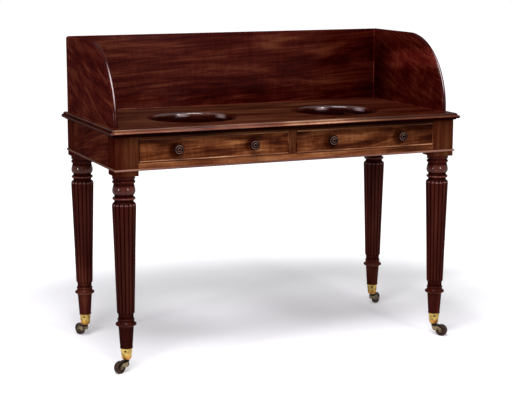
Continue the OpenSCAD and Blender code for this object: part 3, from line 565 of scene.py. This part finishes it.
# the ankle and the foot in its cup: SLEEVE_RING is how far that ring lies over the ankle's
LOW_NECK_R = 23.8
SLEEVE_R = 25.25
SLEEVE_RING_R = 26.5
SLEEVE_RING_H = 6
SLEEVE_RING = 15
ANKLE_Z = 154
ANKLE_RING_R = 32.5
ANKLE_R = 23.75
FOOT_TOP_R = 19.25
FOOT_RING_R = 20.25
FOOT_RING_H = 3
CUP_TOP_Z = 77
SPIGOT_TOP_R = 16.9
SPIGOT_R = 13.9
SPIGOT_ROUND = 1.5
FOOT_Z = 48


def arc(middle, radius, start, end, steps=8):
    """Points of a round in a turned outline, from one angle to another, in degrees."""
    return [
        (
            middle[0] + radius * cos(radians(start + (end - start) * i / steps)),
            middle[1] + radius * sin(radians(start + (end - start) * i / steps)),
        )
        for i in range(steps + 1)
    ]


def below(drop):
    """A height in the turning under the block."""
    return BLOCK_FOOT_Z - drop


def lathe(mesh, outline, steps):
    """Spins an outline of radius and height, in millimetres, round the upright axis."""
    points = [mesh.verts.new((r * MM, 0, z * MM)) for r, z in outline]
    lines = [mesh.edges.new(pair) for pair in zip(points, points[1:])]
    bmesh.ops.spin(
        mesh,
        geom=points + lines,
        cent=(0, 0, 0),
        axis=(0, 0, 1),
        angle=2 * pi,
        steps=steps,
        use_merge=True,
    )
    bmesh.ops.remove_doubles(mesh, verts=mesh.verts, dist=1e-6)


sunk = REED_FULLNESS * sin(pi / REEDS)
reed_share = sunk / (1 + sunk)
tip_r = REED_TOP_D / 2 * reed_share
heel_r = REED_FOOT_D / 2 * reed_share
tip_axis = REED_TOP_D / 2 - tip_r
heel_axis = REED_FOOT_D / 2 - heel_r
ring_half = RING_H / 2
flat_r = RING_R - ring_half
cove_r = (UPPER_RING - ring_half - COLLAR_H) / 2
foot_ring_half = FOOT_RING_H / 2
sleeve_ring_half = SLEEVE_RING_H / 2
sleeve_ring_z = ANKLE_Z + SLEEVE_RING

# up from the foot in the cup to the reeds' lower ends
leg_outline = [(0, FOOT_Z), (SPIGOT_R - SPIGOT_ROUND, FOOT_Z), (SPIGOT_R, FOOT_Z + SPIGOT_ROUND)]
leg_outline += [(SPIGOT_TOP_R, CUP_TOP_Z)]
leg_outline += arc(
    (FOOT_RING_R - foot_ring_half, CUP_TOP_Z + foot_ring_half), foot_ring_half, -90, 90
)
leg_outline += [(FOOT_TOP_R, CUP_TOP_Z + FOOT_RING_H), (ANKLE_R, ANKLE_Z - RING_H)]
leg_outline += [(ANKLE_RING_R - ring_half, ANKLE_Z - ring_half)]
leg_outline += arc((ANKLE_RING_R - ring_half, ANKLE_Z), ring_half, -80, 80, 10)
leg_outline += [(ANKLE_RING_R - ring_half, ANKLE_Z + ring_half)]
leg_outline += [(SLEEVE_R, ANKLE_Z + RING_H), (SLEEVE_R, sleeve_ring_z - sleeve_ring_half)]
leg_outline += arc((SLEEVE_RING_R - sleeve_ring_half, sleeve_ring_z), sleeve_ring_half, -75, 75)
leg_outline += [(LOW_NECK_R, sleeve_ring_z + 3.4), (LOW_NECK_R, REED_FOOT_Z - 5.3)]
# the core that the reeds lie on, and the neck over them
leg_outline += [(heel_axis, REED_FOOT_Z - 4), (tip_axis, REED_TOP_Z + 5)]
leg_outline += [(REED_LIP_R, REED_TOP_Z + 7.3), (NECK_R, REED_TOP_Z + 10.3)]
leg_outline += [(NECK_R, below(LOWER_RING + ring_half)), (flat_r, below(LOWER_RING + ring_half))]
leg_outline += arc((flat_r, below(LOWER_RING)), ring_half, -80, 80)
leg_outline += [(flat_r, below(LOWER_RING - ring_half)), (NECK_R, below(LOWER_RING - ring_half))]
# the vase, the upper ring and the collar
leg_outline += arc((RING_R - VASE_FOOT_R, below(VASE_MIDDLE)), VASE_FOOT_R, -55, 0, 14)
leg_outline += arc((RING_R - VASE_BACK_R, below(VASE_MIDDLE)), VASE_BACK_R, 1, VASE_BACK_END, 16)
leg_outline += [(flat_r, below(VASE_FILLET)), (flat_r, below(UPPER_RING + ring_half))]
leg_outline += arc((flat_r, below(UPPER_RING)), ring_half, -80, UPPER_RING_END, 12)
leg_outline += arc((flat_r + cove_r, below(COLLAR_H + cove_r)), cove_r, 270, 90, 10)
leg_outline += [(COLLAR_R - 0.4, below(COLLAR_H)), (COLLAR_R, below(COLLAR_H - 0.4))]
leg_outline += [(COLLAR_R, below(0)), (0, below(-1))]

leg_mesh = bmesh.new()
reed_length = REED_TOP_Z - REED_FOOT_Z
reed = arc((0, 0), heel_r, -90, 0, 6) + arc((0, reed_length), tip_r, 0, 90, 7)
lathe(leg_mesh, reed, 24)
lean = (tip_axis - heel_axis) / reed_length
bmesh.ops.transform(
    leg_mesh,
    verts=leg_mesh.verts,
    matrix=Matrix.Translation((heel_axis * MM, 0, REED_FOOT_Z * MM))
    @ Matrix.Rotation(lean, 4, "Y"),
)
bmesh.ops.spin(
    leg_mesh,
    geom=leg_mesh.verts[:] + leg_mesh.edges[:] + leg_mesh.faces[:],
    cent=(0, 0, 0),
    axis=(0, 0, 1),
    angle=2 * pi * (REEDS - 1) / REEDS,
    steps=REEDS - 1,
    use_duplicate=True,
)
core = bmesh.new()
lathe(core, leg_outline, 96)
core_data = bpy.data.meshes.new("leg_core")
core.to_mesh(core_data)
core.free()
leg_mesh.from_mesh(core_data)
bpy.data.meshes.remove(core_data)
head = bmesh.ops.create_cube(
    leg_mesh,
    size=MM,
    matrix=Matrix.Translation((0, 0, (BLOCK_FOOT_Z + BLOCK_TOP_Z) / 2 * MM))
    @ Matrix.Diagonal((BLOCK_W, BLOCK_W, BLOCK_TOP_Z - BLOCK_FOOT_Z, 1)),
)["verts"]
bmesh.ops.bevel(
    leg_mesh,
    geom=list({edge for corner in head for edge in corner.link_edges}),
    offset=BLOCK_ARRIS * MM,
    affect="EDGES",
    segments=2,
    profile=0.5,
    material=-1,
)
bmesh.ops.recalc_face_normals(leg_mesh, faces=leg_mesh.faces)


def from_axis(x, y):
    """The distance from the axis of the nearest leg, in metres."""
    return apart(abs(x) - LEG_X * MM, abs(y - LEGS_MIDDLE_Y * MM) - LEG_Y * MM)


def thick(x, y, low, high):
    """0 where a leg is thinner than one radius, 1 where thicker than another, in millimetres."""
    return from_axis(x, y).over(low * MM, high * MM)


def level(z, low, high, soft=1.0):
    """1 between two heights, in millimetres."""
    return between(z, low * MM, high * MM, soft * MM)


def reed_valley_shade(x, y, z):
    """The narrow hollows between the reeds, painted dark as shade."""
    crest = (z - REED_FOOT_Z * MM) * REED_TAPER + REED_FOOT_D / 2 * MM
    deep = 1 - (from_axis(x, y) / crest).over(0.905, 0.985)
    return deep * level(z, REED_FOOT_Z - 6, REED_TOP_Z + 6)


def reed_cap_highlights(x, y, z):
    """The domed upper ends of the reeds, painted pale as highlights."""
    return thick(x, y, 33.5, 35) * level(z, REED_TOP_Z - 0.5, REED_TOP_Z + 4.5)


def hollows(x, y, z):
    """The necks between the rings, and those over the ankle ring, painted darker as shade."""
    neck = (1 - thick(x, y, 30, 33.5)) * level(z, REED_TOP_Z + 8, BLOCK_FOOT_Z - 0.5)
    return neck + (1 - thick(x, y, 23.5, 26.2)) * level(z, ANKLE_Z + 6, ANKLE_Z + 28)


def vase_belly(x, y, z):
    """The fullest part of the vase, which keeps its polish."""
    return thick(x, y, 32.5, 34) * level(z, below(VASE_MIDDLE + 11), below(VASE_FILLET + 0.5), 2)


def lower_ring_highlight(x, y, z):
    """The upper side of the ring under the vase, painted pale as a highlight."""
    middle = below(LOWER_RING)
    return thick(x, y, 33.8, 35) * level(z, middle - 0.5, middle + ring_half, 0.5)


def ankle_ring_highlight(x, y, z):
    """The lower side of the ankle ring, painted pale as a highlight."""
    return thick(x, y, 29.5, 31.2) * level(z, ANKLE_Z - 5, ANKLE_Z - 2, 0.5)


def on_block(z):
    """1 from the foot of the legs' blocks up."""
    return z.over((BLOCK_FOOT_Z - 0.5) * MM, (BLOCK_FOOT_Z + 0.5) * MM)


def on_left_face(x):
    """1 on the left blocks' faces at the end of the piece."""
    face = -(LEG_X + BLOCK_W / 2) * MM
    return 1 - x.over(face + 0.0002, face + 0.0008)


def at_right(x):
    """1 in the right half of the piece."""
    return x.over(-0.1, 0.1)


def at_back(y):
    """1 in the back half of the piece."""
    return y.over(-0.1, 0.1)


def front_blocks(x, y, z):
    """The heads of the front legs, lighter and browner than the rest."""
    return on_block(z) * (1 - at_back(y))


def right_block(x, y, z):
    """The right one of them, browner still."""
    return front_blocks(x, y, z) * right_part(x, y, z)


def left_face_shade(x, y, z):
    """The front left block's face at the end, painted darker and redder as shade."""
    return on_left_face(x) * front_blocks(x, y, z)


def back_left_face(x, y, z):
    """The same face of the back left block, which is browner."""
    return on_left_face(x) * on_block(z) * at_back(y)


def block_edges(x, y, z):
    """The upright corners of the blocks, rubbed a little paler."""
    across = abs(abs(x) - LEG_X * MM)
    along = abs(abs(y - LEGS_MIDDLE_Y * MM) - LEG_Y * MM)
    low = (BLOCK_W / 2 - 2) * MM
    high = (BLOCK_W / 2 - 0.3) * MM
    return across.over(low, high) * along.over(low, high) * on_block(z)


def top_overhang_shadow(x, y, z):
    """The strip of the blocks just under the top, painted dark as the shadow of its overhang."""
    return z.over((BLOCK_TOP_Z - 10) * MM, BLOCK_TOP_Z * MM)


def back_left_foot(x, y, z):
    """The lower part of the back left leg, lighter."""
    return (1 - at_right(x)) * at_back(y) * (1 - z.over(0.22, 0.42))


def back_right_foot(x, y, z):
    """The ankle of the back right leg, lighter too."""
    return at_right(x) * at_back(y) * (1 - z.over(0.155, 0.200))


def front_left_foot(x, y, z):
    """The lower part of the front left leg, darker."""
    return (1 - at_right(x)) * (1 - at_back(y)) * (1 - z.over(0.40, 0.55))


def front_left_ankle(x, y, z):
    """The part of it under the ankle ring, darkest of all."""
    return front_left_foot(x, y, z) * (1 - z.over((ANKLE_Z - 14) * MM, (ANKLE_Z - 8) * MM))


LEG_SHADES = [
    (0.017, 0.0013, 0.0009), (0.028, 0.0031, 0.0018),
    (0.040, 0.0060, 0.0033), (0.060, 0.0120, 0.0066),
]
leg_wood = timber(
    "leg_wood", "Z", LEG_SHADES, seed=1.9, figure=0.5, polish=0.06,
    marks=[
        (front_blocks, (1.42, 2.45, 1.78), 0.0),
        (right_block, (1.25, 1.40, 1.35), 0.0),
        (left_face_shade, (0.68, 0.42, 0.50), 0.0),
        (back_left_face, (1.20, 1.70, 1.50), 0.0),
        (block_edges, (1.5, 1.6, 1.7), 0.1),
        (top_overhang_shadow, (0.45, 0.4, 0.4), 0.03),
        (back_left_foot, (1.60, 2.20, 2.00), 0.06),
        (back_right_foot, (1.40, 1.85, 1.80), 0.06),
        (front_left_foot, (0.76, 0.80, 0.82), 0.05),
        (front_left_ankle, (0.75, 0.68, 0.74), 0.04),
        (reed_valley_shade, (0.24, 0.16, 0.16), 0.0),
        (reed_cap_highlights, (2.6, 5.0, 7.0), 0.4),
        (hollows, (0.42, 0.30, 0.30), 0.02),
        (vase_belly, (1.45, 1.7, 1.5), 0.34),
        (lower_ring_highlight, (2.6, 4.6, 6.0), 0.3),
        (ankle_ring_highlight, (2.6, 6.0, 7.5), 0.4),
    ],
)
for corner, (x, y) in LEG_AXES.items():
    data = bpy.data.meshes.new("leg_" + corner)
    leg_mesh.to_mesh(data)
    data.transform(Matrix.Translation((x * MM, y * MM, 0)))
    data.shade_smooth()
    data.set_sharp_from_angle(angle=radians(38))
    data.materials.append(leg_wood)
    leg = bpy.data.objects.new("turned_leg_" + corner, data)
    bpy.context.scene.collection.objects.link(leg)
    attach(leg, "frame")
    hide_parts("leg_" + corner)
leg_mesh.free()


# ---------- rails and bead ----------
# Solid mahogany rails are tenoned into the leg blocks, with an upright between the drawers.
# A half-round bead of the same wood is glued round the lower edge and mitred at the corners.

TOP_LOW_Z = BLOCK_TOP_Z * MM
LOW_RAIL_TOP_Z = 0.659


def seam_shade(x, y, z):
    """The strip just under the moulding, painted dark as its shadow."""
    return z.over(TOP_LOW_Z - 0.006, TOP_LOW_Z - 0.003)


def upper_front_shadow(x, y, z):
    """The upper part of the front, painted darker as the shadow of the moulding, and less
    polished.
    """
    return z.over(0.702, 0.718)


def drawer_gap_shade(x, y, z):
    """The upper edge of the lower rail, painted dark as the shade under the drawers."""
    return z.over(LOW_RAIL_TOP_Z - 0.0020, LOW_RAIL_TOP_Z - 0.0012)


SIDE_SHADES = [
    (0.012, 0.0008, 0.0006), (0.034, 0.0030, 0.0014),
    (0.064, 0.0110, 0.0040), (0.115, 0.0330, 0.0120),
]
FRONT_SHADES = [
    (0.028, 0.006, 0.002), (0.068, 0.018, 0.006),
    (0.135, 0.045, 0.016), (0.280, 0.125, 0.055),
]
LOW_SHADES = [
    (0.040, 0.009, 0.003), (0.100, 0.027, 0.009),
    (0.185, 0.062, 0.023), (0.320, 0.140, 0.062),
]
BEAD_SHADES = [
    (0.08, 0.030, 0.020), (0.14, 0.055, 0.040),
    (0.21, 0.095, 0.070), (0.30, 0.150, 0.110),
]
SIDE_BEAD_SHADES = [
    (0.05, 0.018, 0.012), (0.08, 0.031, 0.022),
    (0.12, 0.050, 0.038), (0.17, 0.080, 0.062),
]
side_rail_wood = timber(
    "side_rail_wood", "Y", SIDE_SHADES, turn=(radians(12), 0, 0), seed=2.3, figure=1.2, polish=0.01
)
back_rail_wood = timber("back_rail_wood", "X", SIDE_SHADES, seed=8.2, polish=0.03)
front_rail_wood = timber(
    "front_rail_wood", "X", FRONT_SHADES, seed=4.4, figure=0.8, polish=0.05,
    marks=[(upper_front_shadow, (0.45, 0.38, 0.32), 0.04), (seam_shade, (0.22, 0.15, 0.12), 0.03)],
)
low_rail_wood = timber(
    "low_rail_wood", "X", LOW_SHADES, seed=9.4, figure=1.2, polish=0.04,
    marks=[(drawer_gap_shade, (0.2, 0.12, 0.1), 0.0)],
)
divider_wood = timber("divider_wood", "Z", FRONT_SHADES, seed=4.9, polish=0.04)
bead_wood = timber("bead_wood", "X", BEAD_SHADES, seed=6.6, figure=0.5)
side_bead_wood = timber(
    "side_bead_wood", "Y", SIDE_BEAD_SHADES, seed=6.9, figure=0.5, polish=0.05
)
dress(side_rail_wood, "side_rail_left", "side_rail_right")
dress(back_rail_wood, "back_rail")
dress(front_rail_wood, "front_top_rail")
dress(low_rail_wood, "front_bottom_rail")
dress(divider_wood, "drawer_divider")
dress(bead_wood, "bead_front")
dress(side_bead_wood, "bead_left", "bead_right")


# ---------- carcase fittings ----------
# Runners, guides, kickers, stops and rubbed glue blocks of plain timber, never polished,
# gone brown with age. They are glued and nailed inside the frame.

LINING_SHADES = [
    (0.048, 0.020, 0.009), (0.085, 0.038, 0.018),
    (0.125, 0.062, 0.030), (0.180, 0.098, 0.050),
]
runner_wood = timber("runner_timber", "Y", LINING_SHADES, seed=1.1, figure=0.4, polish=0.0)
dress(runner_wood, "drawer_runners", "drawer_guides", "drawer_kickers", "drawer_stops")
dress(runner_wood, "glue_blocks")


# ---------- drawers ----------
# A solid mahogany front with a cockbead let in round its edge, sides and backs of thin oak,
# and a bottom cut out round the basin, with a bent wall that keeps the drawer's inside shut.

SIDES = ("left", "right")
DRAWER_X = 0.261
KNOB_X = 0.125
KNOB_Z = 0.6955
# where the marks on the cockbead's strips begin or end: those at the piece's ends, the
# lower, the upper, and the two beside the upright between the drawers
END_STRIP_X = 0.5068
LOW_STRIP_Z = 0.664
HIGH_STRIP_Z = 0.728
LEFT_DRAWER_STRIP_X = (-0.0160, -0.0090)
RIGHT_DRAWER_STRIP_X = (0.0090, 0.0152)


def from_knob(x, z):
    """The distance from the axis of the nearest knob, seen from the front."""
    return apart(abs(abs(x) - DRAWER_X) - KNOB_X, z - KNOB_Z)


def knob_shadows(x, y, z):
    """The patch round each knob, a little low and to the left, painted darker as the knob's
    shadow.
    """
    return 1 - from_knob(x + 0.005, z + 0.005).over(0.016, 0.032)


def front_ends(x, y, z):
    """The darker ends of each front."""
    return abs(abs(x) - DRAWER_X).over(0.150, 0.250)


def right_drawer(x, y, z):
    """The drawer at the right, darker than the other."""
    return x.over(-0.01, 0.01)


def low_strip_highlight(x, y, z):
    """The lower strip of the cockbead, painted bright as a highlight."""
    return 1 - z.over(LOW_STRIP_Z - 0.0005, LOW_STRIP_Z + 0.0005)


def high_strip(x, y, z):
    """The upper strip, a little brighter than the upright ones."""
    return z.over(HIGH_STRIP_Z - 0.0005, HIGH_STRIP_Z + 0.0005)


def right_strips(x, y, z):
    """The upright strips at the right of each drawer."""
    outer = x.over(END_STRIP_X - 0.0004, END_STRIP_X + 0.0004)
    return between(x, *LEFT_DRAWER_STRIP_X) + outer


def left_strips(x, y, z):
    """The upright strips at the left of each drawer, dark in their corners."""
    outer = 1 - x.over(-END_STRIP_X - 0.0004, -END_STRIP_X + 0.0004)
    return outer + between(x, *RIGHT_DRAWER_STRIP_X)


DRAWER_SHADES = [
    (0.024, 0.004, 0.001), (0.060, 0.013, 0.004),
    (0.130, 0.038, 0.012), (0.290, 0.112, 0.042),
]
drawer_front_wood = timber(
    "drawer_front_wood", "X", DRAWER_SHADES,
    turn=(0, radians(2), 0), seed=6.1, figure=1.7, polish=0.05,
    marks=[
        (right_drawer, (0.74, 0.70, 0.70), 0.04),
        (right_part, (0.85, 0.82, 0.82), 0.04),
        (upper_front_shadow, (0.50, 0.42, 0.36), 0.04),
        (knob_shadows, (0.38, 0.28, 0.25), 0.0),
        (front_ends, (0.62, 0.50, 0.42), 0.05),
    ],
)
cockbead_wood = timber(
    "cockbead_wood", "X", FRONT_SHADES, seed=2.2, figure=0.6, polish=0.1,
    marks=[
        (left_strips, (0.25, 0.15, 0.15), 0.0),
        (right_strips, (0.55, 0.48, 0.42), 0.02),
        (high_strip, (1.3, 1.7, 2.0), 0.05),
        (low_strip_highlight, (3.0, 4.2, 5.6), 0.2),
    ],
)
oak = timber("drawer_oak", "Y", LINING_SHADES, seed=5.5, figure=0.4, polish=0.0)
# the bent walls take the dark side rails' shades as painted shade, so the holes look dark inside
well_wood = timber("well_wood", "Y", SIDE_SHADES, seed=5.9, figure=0.4, polish=0.0)
for side in SIDES:
    dress(drawer_front_wood, side + "_drawer_front")
    dress(cockbead_wood, side + "_drawer_cockbead")
    dress(oak, *[side + "_drawer_" + part for part in ("sides", "backs", "bottom")])
    dress(well_wood, side + "_drawer_well_wall")


# ---------- knobs ----------
# Turned from a dark, close piece of mahogany, with a sunk ring round the button, and
# glued by their spigots into the fronts.

KNOB_SHOULDER_R = (0.0112, 0.0128)
KNOB_LIP_R = (0.0050, 0.0064)


def knob_ring_highlights(x, y, z):
    """The shoulder of the disc and the lip of the sunk ring, painted light above and below as
    highlights.
    """
    out = from_knob(x, z)
    rings = between(out, *KNOB_SHOULDER_R, 0.0004) + between(out, *KNOB_LIP_R, 0.0004)
    return rings * ((abs(z - KNOB_Z) / out) * 0.7 + 0.3)


KNOB_SHADES = [
    (0.004, 0.0006, 0.0004), (0.007, 0.0013, 0.0008),
    (0.012, 0.0030, 0.0020), (0.020, 0.0060, 0.0040),
]
knob_wood = timber(
    "knob_wood", "Y", KNOB_SHADES, seed=0.7, figure=0.3, polish=0.0,
    painted_highlights=[(knob_ring_highlights, (0.20, 0.125, 0.105), 0.04)],
)
dress(knob_wood, *[f"{side}_drawer_knob_{end}" for side in SIDES for end in SIDES])


# ---------- casters ----------
# The cups are cast and turned brass, kept bright by hands; the horns, wheels and axles
# under them are the same brass gone brown and dull near the floor. Two screws fix each cup.

CUP_FOOT_Z = 0.040


def cup_foot(x, y, z):
    """The lower end of a cup, redder than the rest."""
    return 1 - z.over(CUP_FOOT_Z + 0.006, CUP_FOOT_Z + 0.020)


def horn_crown_shade(x, y, z):
    """The horn's crown between its cheeks and the cup, painted nearly black as the shade under the
    cup.
    """
    return z.over(CUP_FOOT_Z - 0.0080, CUP_FOOT_Z - 0.0055)


def brass(name, bright, dull, worn, rough, tint_and_shade_area=None, tint_and_shade=(1, 1, 1)):
    """Cast brass with brown patches. worn is the share of it that stays bright.

    The last two arguments say where and by what factors its colour changes: the cups' redder foot,
    and the painted shade on the horns' crowns.
    """
    made = bpy.data.materials.new(name)
    tree = bare_tree(made)
    place = tree.node("ShaderNodeTexCoord", out="Object")
    cloud, specks = [
        tree.node("ShaderNodeTexNoise", inputs={"Vector": place, "Scale": scale, "Detail": detail})
        for scale, detail in ((90.0, 4.0), (420.0, 2.0))
    ]
    tarnish = (cloud * 0.7 + specks * 0.3).over(worn - 0.1, worn + 0.12)
    colour = blended(tarnish, bright, dull)
    if tint_and_shade_area:
        colour = blended(tint_and_shade_area(*place.parts()), colour, tint_and_shade, "MULTIPLY")
    pits = tree.node(
        "ShaderNodeBump",
        inputs={"Strength": 0.25, "Distance": 0.0004, "Height": cloud + specks * 0.4},
    )
    metal = tree.node(
        "ShaderNodeBsdfPrincipled",
        inputs={
            "Base Color": colour,
            "Metallic": 1 - tarnish * 0.25,
            "Roughness": rough + tarnish * 0.22 + specks * 0.06,
            "Normal": pits,
        },
    )
    tree.node("ShaderNodeOutputMaterial", inputs={"Surface": metal})
    return made


cup_brass = brass(
    "bright_brass", (0.58, 0.41, 0.11), (0.20, 0.11, 0.03), 0.51, 0.22, cup_foot, (1.0, 0.68, 0.45)
)
horn_brass = brass(
    "horn_brass", (0.24, 0.18, 0.10), (0.060, 0.038, 0.020), 0.49, 0.34,
    horn_crown_shade, (0.10, 0.07, 0.07),
)
wheel_brass = brass("wheel_brass", (0.062, 0.032, 0.019), (0.016, 0.007, 0.004), 0.46, 0.26)
screw_brass = brass("screw_brass", (0.05, 0.03, 0.015), (0.015, 0.010, 0.006), 0.45, 0.4)
for corner in LEG_AXES:
    dress(cup_brass, "caster_cup_" + corner)
    dress(horn_brass, "caster_horn_" + corner, "caster_axle_" + corner)
    dress(wheel_brass, "caster_wheel_" + corner)
dress(screw_brass, "cup_screws")
